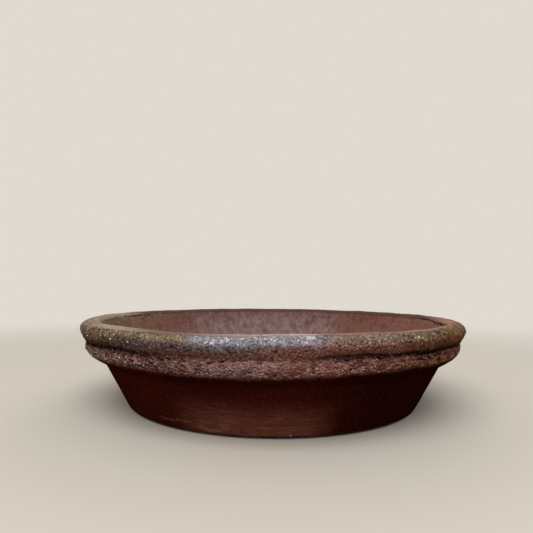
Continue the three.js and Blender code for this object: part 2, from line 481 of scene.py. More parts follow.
def insideRelief(point):
    # Finger marks that run round the inside, and the unevenness of wiped clay.
    along = Vector((point.x * 0.3, point.y * 0.3, point.z))
    marks = noise.noise(along / (4 * mm)) * 0.16 * mm
    lumps = noise.noise(point / (14 * mm)) * 0.3 * mm
    return marks + lumps + noise.noise(point / (1.3 * mm)) * 0.03 * mm


# The wall: smooth, dark, with fine throwing lines outside and a dusty inside
wall = {
    "turnSteps": 1000,
    "edgeRound": 1.4 * mm,
    "outsideCuts": 42,
    "insideCuts": 34,
    "throwPitch": 3.4 * mm,
    "throwDepth": 0.05 * mm,
    "lumpDepth": 0.2 * mm,
    "seed": 3,
    # a dragged mark low on the front, as (degrees from the front, millimetres up)
    "scratch": [(-37, 7.2), (-33, 7.0), (-28, 7.9), (-24, 7.9)],
    # grit, as (degrees, millimetres up, millimetres of radius)
    "grit": [(5.6, 2.9, 0.5)],
    "dark": tone(68, 20, 13),
    "red": tone(78, 24, 15),
    "paintedBounce": tone(124, 66, 50),
    "blackGrainAndShade": tone(49, 10, 6),
    "scuff": tone(160, 118, 100),
    "chip": tone(216, 184, 172),
}


def darkClay(clay):
    # The wall's colour, darkened round its right side by painted shade, which the collar's smooth underside
    # has too.
    colour = clay.mix(clay.step(clay.grain(18 * mm, 3), 0.35, 0.7), wall["dark"], wall["red"])
    return clay.mix(clay.side(62, 30, 60), colour, wall["blackGrainAndShade"])


def fineGrain(clay, colour):
    grain = clay.grain(0.5 * mm, 3, 0.65)
    colour = clay.coats(colour, wall, [
        (clay.step(grain, 0.5, 0.72, 0.0, 0.16), "scuff"),
        (clay.step(grain, 0.3, 0.5, 0.5, 0.0), "blackGrainAndShade"),
    ])
    return colour, grain


def bareClay():
    # Paler low down, in broad patches, the strongest one at the front: painted bounce light from the floor.
    clay = Finish("bareClay")
    drift = clay.times(clay.minus(clay.grain(18 * mm, 3), 0.5), 8 * mm)
    low = clay.step(clay.plus(clay.height, drift), wallFoot + 4 * mm, wallFoot + 28 * mm, 1.0, 0.0)
    patches = calc(clay.tree, "MAXIMUM", clay.side(-5, 2, 26), clay.side(165, 20, 80, 0.7))
    bounceShare = clay.times(low, patches)
    # painted shade at the very foot, where the wall meets the floor
    footShade = clay.step(clay.height, wallFoot + 1.4 * mm, wallFoot + 2.8 * mm, 0.9, 0.0)
    colour = clay.coats(darkClay(clay), wall, [(clay.times(bounceShare, 0.95), "paintedBounce"), (footShade, "dark")])

    # fine grain over faint lines that run round with a slow wave
    wave = clay.times(clay.grain(9 * mm, 2, stretch=(0.5, 0.5, 1)), 7 * mm)
    drifting = clay.vector("ADD", clay.place, clay.add("ShaderNodeCombineXYZ", {"Z": wave}).outputs[0])
    lines = clay.grain(0.8 * mm, 3, 0.6, (0.14, 0.14, 1), drifting)
    mottles = clay.step(clay.grain(1.4 * mm, 3, 0.6, (0.5, 0.5, 1)), 0.3, 0.5, 0.5, 0.0)
    colour, grain = fineGrain(clay, colour)
    colour = clay.coats(colour, wall, [
        # faint pale lines and dark mottles only within the painted bounce light
        (clay.times(clay.step(lines, 0.45, 0.7, 0.0, 0.5), bounceShare), "scuff"),
        (clay.times(mottles, bounceShare), "dark"),
        (clay.specks(0.35 * mm, 0.03, 0.3), "scuff"),
        (clay.times(clay.mark("scuff"), clay.step(grain, 0.4, 0.6, 0.05, 0.55)), "scuff"),
        (clay.mark("grit"), "chip"),
    ])
    rough = clay.step(clay.grain(3 * mm, 3), 0.3, 0.7, 0.66, 0.82)
    bump = clay.plus(clay.times(lines, 0.5), grain)
    return clay.end(colour, rough, bump, 0.16 * mm, clay.times(bounceShare, 0.25))


def makeWall(bare, inside):
    outline = [
        (insideRadius(wallFoot), wallFoot),
        (outsideRadius(wallFoot), wallFoot),
        (outsideRadius(collarBottom + 2 * mm), collarBottom + 2 * mm),
        (outsideRadius(wallTop), wallTop),
        (insideRadius(wallTop), wallTop),
        (insideRadius(coilTop), coilTop),
    ]
    bm = spunRing(outline, {1: wall["outsideCuts"], 4: wall["insideCuts"], 5: 2}, wall["turnSteps"])
    lifts = []
    scuffs = []
    for vertex in bm.verts:
        point = vertex.co
        radius = math.hypot(point.x, point.y)
        outward = radius - (outsideRadius(point.z) - pot["thickness"] / 2) > 0
        if outward and point.z < collarBottom + 2.5 * mm:
            course = point.z / wall["throwPitch"] + 0.9 * noise.noise(point / (30 * mm))
            throw = math.sin(2 * math.pi * course) * wall["throwDepth"]
            throw *= 0.6 + noise.noise(point / (12 * mm))
            lumps = noise.noise(point / (16 * mm)) * wall["lumpDepth"]
            edge = smooth(point.z, wallFoot, wallFoot + wall["edgeRound"])
            lifts.append((throw + lumps) * edge - (1 - edge) ** 2 * 0.5 * wall["edgeRound"])
        elif not outward and point.z > coilTop - 0.5 * mm:
            lifts.append(insideRelief(point))
        else:
            lifts.append(0.0)
        scratch = alongCourse(wall["scratch"], angleOf(point)) if outward else None
        scuffs.append(1 - smooth(abs(point.z - scratch), 0.2 * mm, 1.1 * mm) if scratch else 0.0)
    pushAlong(bm, lifts)
    for face in bm.faces:
        middle = face.calc_center_median()
        if middle.x * face.normal.x + middle.y * face.normal.y < 0:
            face.material_index = 1
    setMark(bm, "scuff", scuffs)
    random.seed(wall["seed"])
    grains = []
    for degrees, height, size in wall["grit"]:
        grains.append((spotAt(degrees, height * mm, outsideRadius(height * mm) + 0.1 * mm), size * mm, 2))
    addGrit(bm, grains)
    piece = finishPiece(bm, "wall_body", bare, "wall")
    piece.data.materials.append(inside)
    return piece


# The floor slab, with finger marks in a spiral, a drain hole and wire holes
floor = {
    "turnSteps": 360,
    "topCuts": 46,
    "bottomCuts": 44,
    "drainRadius": 14 * mm,
    "drainRound": 1.5 * mm,
    "wireRadius": 3.5 * mm,
    "wireCircle": 64 * mm,
    "wireCount": 4,
    "wireTurn": 45,  # degrees from the front to the first one
    "spiralPitch": 7.5 * mm,
    "spiralDepth": 0.28 * mm,
    "spiralEnd": (84 * mm, 98 * mm),  # it fades out from one radius to the other
    "underReach": 89 * mm,  # the foot hides the underside from here on
}


def makeFloor(inside):
    drain = floor["drainRadius"]
    rounding = floor["drainRound"]
    under = rounding / 2
    overlap = pot["overlap"]
    outline = [
        *arcPoints((drain + rounding, floorTop - rounding), rounding, rounding, 90, 180, 5),
        *arcPoints((drain + under, floorBottom + under), under, under, 180, 270, 4),
        (insideRadius(floorBottom) + overlap, floorBottom),
        (insideRadius(floorTop) + overlap, floorTop - overlap),
        (coilStart + 2 * mm, floorTop - overlap),
        (coilStart, floorTop),
    ]
    cuts = {4: 4, 8: floor["bottomCuts"], len(outline) - 1: floor["topCuts"]}
    bm = spunRing(outline, cuts, floor["turnSteps"])
    lifts = []
    for vertex in bm.verts:
        point = vertex.co
        radius = math.hypot(point.x, point.y)
        course = 2 * math.pi * radius / floor["spiralPitch"] - angleOf(point)
        spiral = math.cos(course + noise.noise(point / (30 * mm))) * floor["spiralDepth"]
        spiral *= smooth(radius, drain, drain + 6 * mm) * (1 - smooth(radius, *floor["spiralEnd"]))
        if point.z > floorTop - 0.1 * mm and radius < coilStart + 1 * mm:
            lifts.append(insideRelief(point) + spiral)
        elif point.z < floorBottom + 0.1 * mm and radius < floor["underReach"]:
            lifts.append(insideRelief(point) * 1.4 + spiral * 0.7)
        elif radius < drain + rounding:
            lifts.append(noise.noise(point / (3 * mm)) * 0.25 * mm)
        else:
            lifts.append(0.0)
    pushAlong(bm, lifts)
    return finishPiece(bm, "floor_body", inside, "floor_slab")


def makeWireHoles(piece):
    # Drilled right through the slab.
    radius = floor["wireRadius"]
    for k in range(floor["wireCount"]):
        spot = spotAt(floor["wireTurn"] + 360 * k / floor["wireCount"], floorTop, floor["wireCircle"])
        bm = bmesh.new()
        bmesh.ops.create_cone(
            bm, cap_ends=True, segments=40, radius1=radius, radius2=radius, depth=3 * floorTop,
            matrix=Matrix.Translation(spot),
        )
        drill = linkNew("wireDrill", meshOf(bm, "wireDrill"))
        cut = piece.modifiers.new("wireHole", "BOOLEAN")
        cut.object = drill
        cut.solver = "EXACT"
        bpy.context.view_layer.objects.active = piece
        with bpy.context.temp_override(object=piece, active_object=piece):
            bpy.ops.object.modifier_apply(modifier=cut.name)
        bpy.data.objects.remove(drill)


# The coil that hollows out the corner
coil = {"turnSteps": 720, "hollowSteps": 14}


def makeCoil(inside):
    overlap = pot["overlap"]
    rounding = pot["coilRound"]
    sweep = math.degrees(math.pi / 2 - pot["lean"])
    centre = (coilStart, floorTop + rounding)
    hollow = arcPoints(centre, rounding, rounding, -90 + sweep, -90, coil["hollowSteps"])
    outline = [
        (coilStart, floorTop - overlap),
        (insideRadius(floorTop) + overlap, floorTop - overlap),
        (insideRadius(coilTop) + overlap, coilTop),
        (insideRadius(coilTop), coilTop),
        *hollow,
    ]
    bm = spunRing(outline, {}, coil["turnSteps"])
    lifts = []
    for vertex in bm.verts:
        radius = math.hypot(vertex.co.x, vertex.co.y)
        shown = vertex.co.z > floorTop - 0.1 * mm and radius < insideRadius(vertex.co.z) + 0.1 * mm
        lifts.append(insideRelief(vertex.co) if shown else 0.0)
    pushAlong(bm, lifts)
    return finishPiece(bm, "coil_body", inside, "corner_coil")


# The foot ring, with notches that let the water out, rubbed pale where it stands
foot = {
    "turnSteps": 900,
    "width": 15 * mm,
    "edgeRound": 1.2 * mm,
    "standOff": 0.7 * mm,
    "notchWidth": 16 * mm,
    "notchHeight": 2.1 * mm,
    "notchTurns": [90, 180, 270],
    "clay": tone(92, 62, 52),
    "dark": tone(52, 34, 29),
    "rubbed": tone(150, 122, 106),
}


def footClay():
    clay = Finish("footClay")
    colour = clay.mix(clay.step(clay.grain(4 * mm, 4), 0.35, 0.65), foot["dark"], foot["clay"])
    low = clay.step(clay.height, 0.1 * mm, 0.9 * mm, 1.0, 0.0)
    worn = clay.times(low, clay.step(clay.grain(1.2 * mm, 3), 0.4, 0.6, 0.15, 0.75))
    colour = clay.mix(worn, colour, foot["rubbed"])
    return clay.end(colour, 0.9, clay.grain(0.4 * mm, 3), 0.15 * mm, 0.25)


def makeFoot(clay):
    top = footHeight + pot["overlap"]
    inner = insideRadius(footHeight) - foot["width"]
    outer = insideRadius(foot["standOff"]) - foot["standOff"]
    rounding = foot["edgeRound"]
    outline = [
        (inner, top),
        *arcPoints((inner + rounding, rounding), rounding, rounding, 180, 270, 6),
        (outer, 0),
        (insideRadius(foot["standOff"]) + 0.2 * mm, foot["standOff"]),
        (insideRadius(footHeight) + 0.2 * mm, top),
    ]
    bm = spunRing(outline, {0: 3, 6: 16}, foot["turnSteps"])
    for vertex in bm.verts:
        point = vertex.co
        for turn in foot["notchTurns"]:
            middle = spotAt(turn, 0, 1)
            across = (point - point.dot(middle) * middle).xy.length
            if point.dot(middle) > 0 and across < foot["notchWidth"] / 2:
                roof = foot["notchHeight"] * math.sqrt(1 - (2 * across / foot["notchWidth"]) ** 2)
                point.z = max(point.z, roof)
    bm.normal_update()
    lifts = []
    for vertex in bm.verts:
        point = vertex.co
        standing = point.z < 0.05 * mm
        uneven = noise.noise(point / (3 * mm)) * 0.12 * mm + noise.noise(point / (0.9 * mm)) * 0.05 * mm
        lifts.append(-abs(uneven) * 0.6 if standing else uneven)
    pushAlong(bm, lifts)
    return finishPiece(bm, "foot_body", clay, "foot_ring")


# The collar: rough clay pressed round the wall. Its face is torn into crumbs, short slanting
# ridges and pits, and its underside is as smooth and dark as the wall.
collar = {
    "turnSteps": 1800,
    "bellyRise": 8 * mm,
    "standOut": 7.9 * mm,
    "undersideSteps": 12,
    "faceSteps": 28,
    "tuck": 1.0 * mm,  # how much lower than its lower edge it starts
    "lowSink": 0.4 * mm,  # how far it starts inside the wall
    "topSink": 0.5 * mm,  # how far it ends inside the wall
    "behind": 2 * mm,  # how far it goes on up behind the roll
    "tear": 1.1 * mm,
    "tearLobes": [6, 10, 14, 22],
    "slant": 0.24,  # how far a flake falls for each step to the right, at the front
    "flakeStretch": 0.4,  # under 1, so flakes are longer than they are high
    "lumpDepth": 0.5 * mm,
    "flakeDepth": 1.3 * mm,
    "ridgeDepth": 0.5 * mm,
    "crumbDepth": 0.35 * mm,
    "pitCount": 900,
    "gritCount": 380,
    "gritReach": 147 * mm,  # from the axis to where the largest grit is looked for
    "seed": 11,
    # how far up its face the shade of the groove starts, as (degrees from the front, 0 to 1000)
    "shadeStart": [(-180, 580), (-43, 580), (-30, 360), (-19, 580), (30, 580), (44, 780), (180, 720)],
    # where the torn face ends below, as (degrees from the front, millimetres up)
    "lowerEdge": [
        (-180, 43.4), (-140, 42.2), (-110, 44.0), (-80, 42.6), (-58, 43.0), (-43, 43.4), (-31, 43.1),
        (-19, 42.3), (-9, 42.3), (0, 42.4), (11, 43.2), (22, 44.4), (37, 44.8), (45, 44.5),
        (57, 43.8), (85, 43.0), (110, 43.8), (140, 42.4), (180, 43.4),
    ],
    # how much further out its belly stands, in millimetres
    "bellyOut": [
        (-180, 0), (-110, 0), (-67, -1.2), (-40, -0.5), (-20, 0), (40, 0), (66, -1.7), (110, 0), (180, 0),
    ],
    # slits where the clay laps over itself, as (degrees from the front, millimetres up)
    "slits": [
        [(-14.3, 49.1), (-10.6, 50.2), (-6.6, 51.3)],
        [(13.5, 50.4), (16, 50.9), (19, 51.9), (22.5, 52.1), (25, 51.2)],
        [(38, 48.2), (41, 48.8), (46, 49.6), (52, 49.3)],
        [(-26, 49.2), (-22, 49.8), (-19, 49.6)],
        [(31, 48.4), (36, 48.7), (41, 48.3)],
    ],
    # the largest grit, as (degrees, millimetres up, millimetres of radius)
    "grit": [
        (-38.1, 47.7, 0.55), (-35.9, 48.6, 0.45), (-30.3, 43.6, 0.7), (-31.4, 45.1, 0.5), (-32.9, 45.4, 0.5),
    ],
    "deep": tone(34, 7, 4),
    "brown": tone(134, 83, 76),
    "pink": tone(161, 117, 111),
    "light": tone(220, 193, 185),
    "straw": tone(200, 152, 108),
    "tan": tone(140, 103, 80),
    "umber": tone(118, 73, 61),
    "ruddy": tone(154, 90, 76),
    "olive": tone(134, 82, 54),
    "paintedUnderShade": tone(116, 60, 50),
    "grey": tone(150, 142, 142),
}
collarBelly = collarBottom + collar["bellyRise"]


def flakePlace(clay):
    # The place, stretched and slanted as the flakes of the relief are.
    long = collar["flakeStretch"]
    across = clay.add("ShaderNodeSeparateXYZ", {0: clay.place}).outputs["X"]
    fall = clay.add("ShaderNodeCombineXYZ", {"Z": clay.times(across, collar["slant"])}).outputs[0]
    return clay.vector("ADD", clay.vector("MULTIPLY", clay.place, (long, long, 1)), fall)


def tornClay():
    clay = Finish("tornClay")
    crumb, own = clay.crumbs(clay.place, 0.8 * mm)
    flake, flakeOwn = clay.crumbs(flakePlace(clay), 0.8 * mm)
    speckle = clay.grain(0.45 * mm, 3, 0.65)
    oliveSide = clay.side(88, 40, 74, 0.85)
    greySpots = clay.step(clay.grain(3 * mm, 3), 0.5, 0.62)
    body = clay.mix(clay.step(clay.grain(4 * mm, 4, 0.6), 0.35, 0.65), collar["brown"], collar["pink"])
    body = clay.coats(body, collar, [
        (clay.side(-34, 10, 22, 0.7), "umber"),
        (clay.side(28, 12, 26, 0.55), "ruddy"),
        (clay.side(-90, 40, 56, 0.85), "tan"),
        (oliveSide, "olive"),
        (clay.times(clay.side(-12, 3, 12, 0.6), greySpots), "grey"),
        # painted shade just under the belly, where the collar turns under
        (clay.step(clay.height, collarBelly - 2.4 * mm, collarBelly + 0.4 * mm, 0.25, 0.0), "paintedUnderShade"),
    ])

    # flakes and crumbs differ from each other, with painted highlights where they stand out and painted shade
    # where the clay sinks between them
    pale = clay.mix(oliveSide, collar["light"], collar["straw"])
    stand = clay.standing(flake, 0.5, speckle)
    shade = clay.grooveShade(own)
    body = clay.coats(body, collar, [
        (clay.step(flakeOwn, 0.7, 0.9, 0.0, 0.28), pale),
        (clay.step(flakeOwn, 0.05, 0.35, 0.32, 0.0), "deep"),
        (clay.step(own, 0.8, 0.95, 0.0, 0.3), pale),
        (clay.step(own, 0.05, 0.3, 0.4, 0.0), "deep"),
        (clay.grazingShade(), "deep"),
        (clay.step(stand, -1.5, -0.3, 0.9, 0.0), "deep"),
        (clay.step(stand, 0.45, 1.3, 0.0, 0.65), pale),
        (shade, "deep"),
    ])
    torn = clay.mark("torn")
    bare, _ = fineGrain(clay, darkClay(clay))
    colour = clay.coats(bare, collar, [(torn, body), (clay.mark("grit"), "light")])
    bumps = clay.plus(clay.times(crumb, 0.5), clay.times(flake, 0.6))
    bump = clay.plus(clay.times(bumps, torn), clay.times(speckle, 0.5))
    rough = clay.step(speckle, 0.3, 0.7, 0.78, 0.95)
    return clay.end(colour, rough, bump, 0.45 * mm, clay.times(clay.minus(torn, shade), 0.2))


def tornRelief(point):
    # Lumps, flakes parted by slits, ridges and crumbs, in metres that they stand out or in.
    stretch = collar["flakeStretch"]
    long = Vector((point.x * stretch, point.y * stretch, point.z + collar["slant"] * point.x))
    long += noise.noise_vector(point / (6 * mm)) * 1.2 * mm
    lumps = noise.noise(point / (5 * mm)) * collar["lumpDepth"]
    nearest, second = noise.voronoi(long / (1.0 * mm))[0][:2]
    flakes = (min(second - nearest, 0.4) - 0.25) * collar["flakeDepth"]
    ridges = noise.ridged_multi_fractal(long / (1.5 * mm), 0.9, 2.1, 2, 0.95, 1.8) - 0.6
    ridges *= collar["ridgeDepth"]
    crumbs = (0.55 - noise.voronoi(point / (1.1 * mm))[0][0]) * collar["crumbDepth"]
    return lumps + flakes + ridges + crumbs + noise.noise(point / (0.7 * mm)) * 0.4 * collar["crumbDepth"]


def makeCollar(clay):
    bottom = collarBottom - collar["tuck"]
    top = grooveHeight + collar["behind"]
    outline = [(outsideRadius(bottom) - collar["lowSink"], bottom)]
    for k in range(1, collar["undersideSteps"] + 1):
        along = k / collar["undersideSteps"]
        z = collarBottom + collar["bellyRise"] * along
        outline.append((outsideRadius(z) + collar["standOut"] * math.sin(along * math.pi / 2), z))
    # The frame's groove is round and deep. Here the face runs up into it on a flatter curve.
    for k in range(1, collar["faceSteps"] + 1):
        share = k / collar["faceSteps"]
        z = lerp(collarBelly, grooveHeight, share)
        outline.append((outsideRadius(z) + lerp(collar["standOut"], pot["grooveStand"], share ** 2.2), z))
    outline.append((outline[-1][0] - 0.8 * mm, top))
    outline.append((outsideRadius(grooveHeight) - collar["topSink"], top))
    bm = spunRing(outline, {}, collar["turnSteps"])

    shares = []
    shades = []
    for vertex in bm.verts:
        point = vertex.co
        radius = math.hypot(point.x, point.y)
        angle = angleOf(point)
        toBelly = alongCourse(collar["lowerEdge"], angle) - collarBelly
        toGroove = alongCourse(pot["groove"], angle) - grooveHeight
        high = clamp((point.z - collarBelly) / (grooveHeight - collarBelly))
        if point.z < collarBelly:
            low = clamp((point.z - collarBottom) / collar["bellyRise"])
            tearShare = low
            rise = toBelly * low
            out = 0.0
        else:
            tearShare = 1 - high ** 2
            rise = lerp(toBelly, toGroove, high)
            out = (alongCourse(pot["grooveOut"], angle) - pot["grooveStand"]) * high ** 2
        stands = radius - outsideRadius(point.z)
        hidden = smooth(point.z, grooveHeight + 0.2 * mm, grooveHeight + 1 * mm)
        shares.append(smooth(stands, 0.3 * mm, 2.2 * mm) * (1 - hidden))
        # painted shade of the groove, growing up the face towards it
        shaded = smooth(high, alongCourse(collar["shadeStart"], angle), 1.0)
        shades.append(shaded * alongCourse(pot["shade"], angle))
        out += tearShare * alongCourse(collar["bellyOut"], angle)
        out += tearShare * collar["tear"] * wander(angle, collar["tearLobes"])
        wider = 1 + out / radius
        vertex.co = Vector((point.x * wider, point.y * wider, point.z + rise))
    bm.normal_update()

    random.seed(collar["seed"])
    noise.seed_set(collar["seed"])
    lifts = []
    torn = []
    for vertex, shown in zip(bm.verts, shares):
        point = vertex.co
        if shown == 0:
            lifts.append(0.0)
            torn.append(0.0)
            continue
        edge = alongCourse(collar["lowerEdge"], angleOf(point)) - 0.8 * mm
        edge += noise.noise(point / (5 * mm)) * 1.6 * mm + noise.noise(point / (1.4 * mm)) * 1.1 * mm
        isTorn = smooth(point.z, edge - 2.0 * mm, edge + 1.4 * mm)
        torn.append(isTorn)
        degrees = math.degrees(angleOf(point))
        coarse = lerp(1, 1.4, smooth(max(degrees, -degrees - 10), 4, 28))
        calm = noise.noise(point / (5 * mm)) * 0.3 * mm
        lifts.append(shown * lerp(calm, coarse * tornRelief(point), isTorn))
    tree = treeOf(bm)
    for course in collar["slits"]:
        pressLine(bm.verts, lifts, course, 0.9 * mm, 0.9 * mm)
    spots = [i for i, isTorn in enumerate(torn) if isTorn > 0.6 and shares[i] > 0.6]
    pressPits(lifts, tree, randomPits(bm, spots, collar["pitCount"], 0.4 * mm, 0.85 * mm))
    markRelief(bm, lifts)
    setMark(bm, "torn", torn)
    # the groove mark holds the groove's painted shade
    setMark(bm, "groove", shades)
    pushAlong(bm, lifts)

    bm.verts.ensure_lookup_table()
    grains = randomGrit(bm, spots, collar["gritCount"], 0.22 * mm, 0.42 * mm)
    for degrees, height, size in collar["grit"]:
        grains.append((vertexAt(bm, tree, degrees, height, collar["gritReach"]), size * mm, 2))
    addGrit(bm, grains)
    return finishPiece(bm, "collar_body", clay, "collar_band")


# The rim roll: sandy clay, red brown under its belly, with ash over the front of it and a top
# wiped smooth
roll = {
    "turnSteps": 1440,
    "bellyRise": 8.1 * mm,
    "standOut": 4 * mm,
    "tuck": 1 * mm,  # how far its lower edge reaches down into the groove
    "sink": 0.5 * mm,  # and into the wall
    "uneven": 0.3 * mm,
    "lobes": [4, 6, 10],
    "lipHeight": 3.4 * mm,
    "lipWidth": 5.4 * mm,
    "underSteps": 20,
    "overSteps": 18,
    "lipSteps": 11,
    "innerCuts": 7,
    "swellDepth": 0.4 * mm,
    "lumpDepth": 0.4 * mm,
    "grainDepth": 0.36 * mm,
    "crumbDepth": 0.4 * mm,
    "pitCount": 1100,
    "gritCount": 110,
    "seed": 5,
    # where the wiped top ends, as (degrees from the front, millimetres up)
    "wipedEdge": [
        (-180, 63.2), (-120, 62.8), (-60, 62.8), (-40, 63.4), (-28, 63.8), (-15, 64.2),
        (0, 64.2), (14, 64.4), (24, 64.5), (45, 64.3), (90, 63.8), (180, 63.2),
    ],
    # how far its crest dips, in millimetres
    "crestDip": [
        (-180, 0), (-38, 0), (-30, 0.3), (-24, 0.9), (-18, 1.1), (-6, 0.9), (1, 0.2), (12, 0.1),
        (20, 0.3), (30, 0.3), (40, 0), (180, 0),
    ],
    # how much fuller its neck is, in millimetres
    "neckOut": [(-180, 0), (6, 0), (15, 0.9), (28, 0.9), (40, 0.2), (60, 0), (180, 0)],
    # the crack inside the right end and the ledge inside the left one
    "crack": [
        (66.7, 63.4), (80, 61.1), (85.2, 61.4), (88.2, 60.4), (92.2, 62.0), (98.8, 62.6), (105.1, 63.2),
    ],
    "ledge": [(-117.6, 61.7), (-108.2, 61.9), (-101.3, 62.4), (-93.4, 62.9)],
    # the largest grit and pits, as (degrees, millimetres up, millimetres of radius)
    "grit": [
        (-53.2, 57.6, 0.6), (-40.2, 58.1, 0.8), (-39, 61.1, 0.6), (-34, 57.2, 0.8), (34.5, 62.1, 0.9),
        (35.8, 61.6, 0.8), (33.6, 62.6, 0.6), (-45, 59.4, 0.5), (-48, 55.8, 0.4),
    ],
    "pits": [(-20.3, 60.5, 1.0), (44.1, 58.4, 1.2), (27.0, 57.0, 0.9), (38.0, 59.5, 0.8)],
    "deep": tone(32, 8, 5),
    "brown": tone(150, 101, 94),
    "umber": tone(124, 81, 74),
    "russetAndLight": tone(184, 127, 111),
    "tan": tone(132, 108, 86),
    "ash": tone(151, 151, 166),
    "frostAndGlint": tone(232, 230, 238),
    "slate": tone(72, 68, 78),
    "cream": tone(210, 188, 178),
    "straw": tone(198, 154, 106),
    "charcoal": tone(116, 104, 104),
    "backTop": tone(92, 63, 52),
    "moss": tone(162, 148, 62),
    "green": tone(132, 119, 105),
    "olive": tone(130, 82, 52),
    "lichen": tone(124, 102, 62),
    "wiped": tone(122, 102, 88),
    "wipedTan": tone(170, 151, 130),
    "wipedRed": tone(156, 116, 94),
}
rollBelly = grooveHeight + roll["bellyRise"]
lipEdge = crest - roll["lipHeight"]


def ashClay():
    clay = Finish("ashClay")
    grainy, wiped, inner = (clay.mark(name) for name in ("grainy", "wiped", "inner"))
    crumb, own = clay.crumbs(clay.place, 0.95 * mm)
    speckle = clay.grain(0.5 * mm, 3, 0.65)
    streaks = clay.grain(1.3 * mm, 3, 0.6, (1, 1, 0.3))
    patches = clay.grain(5 * mm, 4, 0.6)
    clumps = clay.grain(2.4 * mm, 3, 0.6)
    spots = clay.grain(1.1 * mm, 4, 0.7, (1, 1, 0.6))

    def above(low, high, atLow=0.0, atHigh=1.0, height=clay.height):
        # a step between two heights, in millimetres from the belly
        return clay.step(height, rollBelly + low * mm, rollBelly + high * mm, atLow, atHigh)

    neck = clay.times(clay.step(patches, 0.35, 0.6, 0.4, 0.9), above(-5, -1.5, 1.0, 0.3))
    body = clay.mix(clay.step(patches, 0.35, 0.65), roll["brown"], roll["umber"])
    body = clay.coats(body, roll, [
        (clay.side(180, 20, 90, 0.5), "green"),
        (clay.times(clay.side(-24, 16, 28, 0.8), above(-6.5, -2.5)), "charcoal"),
        # painted light: the neck, which faces down, made a lighter russet
        (clay.times(clay.side(20, 9, 24), neck), "russetAndLight"),
        (clay.times(clay.side(-84, 40, 52), above(-5, 1, 0.75)), "tan"),
        (clay.side(88, 44, 74, 0.9), "olive"),
        (clay.times(clay.side(66, 26, 46, 0.8), above(-1, 2.5)), "lichen"),
    ])

    # ash that ran down a little way and stopped at a ragged edge, green at its right end, and a trace of moss
    # at its left. The ash's grey and white specks are partly its colour and partly painted sheen and glints.
    fall = clay.plus(clay.height, clay.times(clay.minus(streaks, 0.5), 8 * mm))
    fall = clay.plus(fall, clay.side(-16, 5, 13, 1.8 * mm))
    ashSide = clay.times(clay.side(-3, 9, 17), above(-3.2, 2.9, height=fall))
    greenSide = clay.times(clay.side(24, 9, 24), above(-0.4, 2.8, height=fall))
    tufts = clay.step(clay.grain(0.38 * mm, 4, 0.75), 0.43, 0.57)
    mossy = clay.times(clay.side(-30, 5, 15), above(-1.5, 2.5), tufts)
    frostAndGlint = clay.times(clay.step(spots, 0.49, 0.61), clay.step(clumps, 0.42, 0.56, 0.1, 1.0))
    body = clay.coats(body, roll, [
        (clay.times(greenSide, clay.step(clumps, 0.38, 0.56, 0.35, 0.9)), "green"),
        (clay.times(mossy, clay.step(clumps, 0.42, 0.6, 0.3, 0.85)), "moss"),
        (clay.times(ashSide, clay.step(speckle, 0.3, 0.6, 0.5, 0.95)), "ash"),
        (clay.times(ashSide, frostAndGlint), "frostAndGlint"),
        (clay.times(ashSide, clay.step(spots, 0.32, 0.46, 0.75, 0.0)), "slate"),
    ])

    # the top's tones, and a fine dark line where the wiping stopped
    top = clay.coats(roll["wiped"], roll, [
        (clay.side(60, 30, 70), "wipedRed"),
        (clay.side(180, 76, 100), "backTop"),
        (clay.side(-72, 28, 46), "wipedTan"),
    ])
    body = clay.coats(body, roll, [
        (wiped, top),
        (clay.times(wiped, clay.minus(1.0, wiped), clay.minus(1.0, grainy), 5.0), "deep"),
        (inner, insideColour(clay)),
        (clay.times(inner, clay.side(-92, 24, 44, 0.4)), "tan"),
    ])

    # sandy grain: each grain its own tone, with painted highlights where grains stand out and painted shade
    # between them and in pits
    sand = clay.mix(clay.side(88, 40, 66), roll["cream"], roll["straw"])
    bare = clay.times(grainy, clay.minus(1.0, ashSide))
    stand = clay.standing(crumb, 0.6, speckle)
    shade = clay.grooveShade(own)
    body = clay.coats(body, roll, [
        (clay.times(clay.step(own, 0.05, 0.4, 0.65, 0.0), grainy), "deep"),
        (clay.times(clay.grazingShade(), grainy), "deep"),
        (clay.times(clay.step(own, 0.8, 0.95, 0.0, 0.5), bare), sand),
        (clay.times(clay.step(stand, -1.5, -0.3, 0.9, 0.0), grainy), "deep"),
        (clay.times(clay.step(stand, 0.5, 1.4, 0.0, 0.5), bare), sand),
        (clay.step(clay.mark("relief"), -1.6, -0.7, 0.85, 0.0), "deep"),
        (shade, "deep"),
        (clay.mark("grit"), "cream"),
    ])
    rough = clay.mixNumber(ashSide, 0.8, clay.step(streaks, 0.35, 0.65, 0.46, 0.27))
    bump = clay.plus(clay.times(crumb, 0.7), speckle)
    bump = clay.times(bump, clay.step(grainy, 0.0, 1.0, 0.25, 1.0))
    gloss = clay.times(clay.mixNumber(ashSide, 0.15, 0.5), clay.minus(1.0, shade))
    return clay.end(body, rough, bump, 0.36 * mm, gloss)


